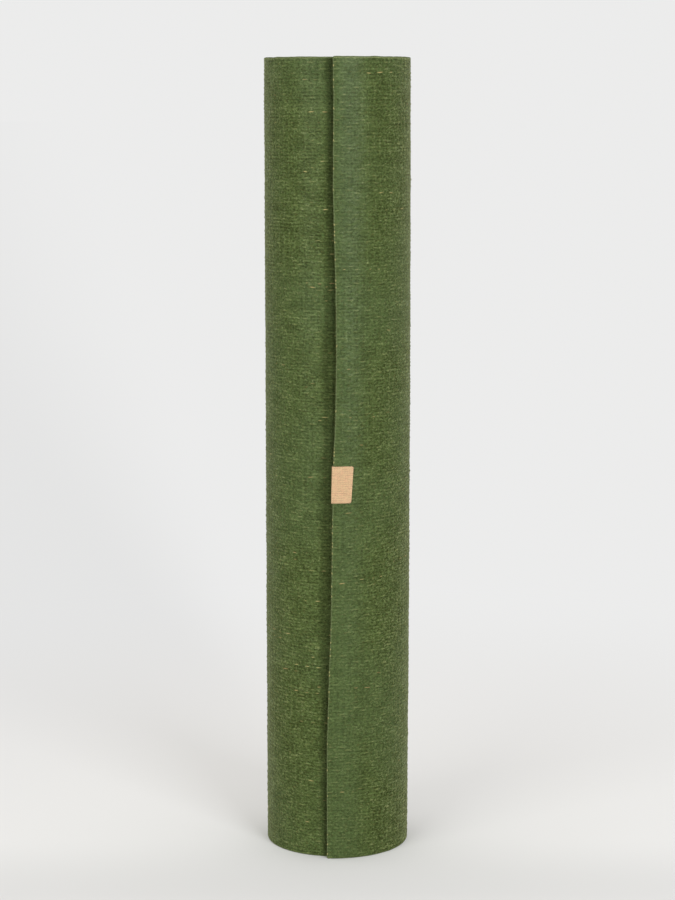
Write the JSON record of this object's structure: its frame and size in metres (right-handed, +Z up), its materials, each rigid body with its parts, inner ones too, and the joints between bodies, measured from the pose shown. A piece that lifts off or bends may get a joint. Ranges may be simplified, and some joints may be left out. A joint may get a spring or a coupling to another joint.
{
  "type": "rolled jute yoga mat",
  "caption": "Jute yoga mat wound into an open-cored roll standing on one end, its free end lapping down the front with a small woven tag folded round it.",
  "frame": {"origin": "under the middle of the roll's outline, on the surface that the roll stands on", "axes": "+Z up along the roll and across the mat's width; +X to the right and -Y towards the front, where the mat's free end lies"},
  "size_m": [0.1106, 0.1124, 0.6105],
  "materials": {
    "coated_jute": "matte leaf-green rubbery coating over a jute weave, with straw-coloured yarn showing through in short dashes",
    "woven_tag": "fine matte woven tape, sandy peach"
  },
  "bodies": {
    "root": {"mat": "coated_jute", "label": "woven_tag"}
  },
  "joints": []
}
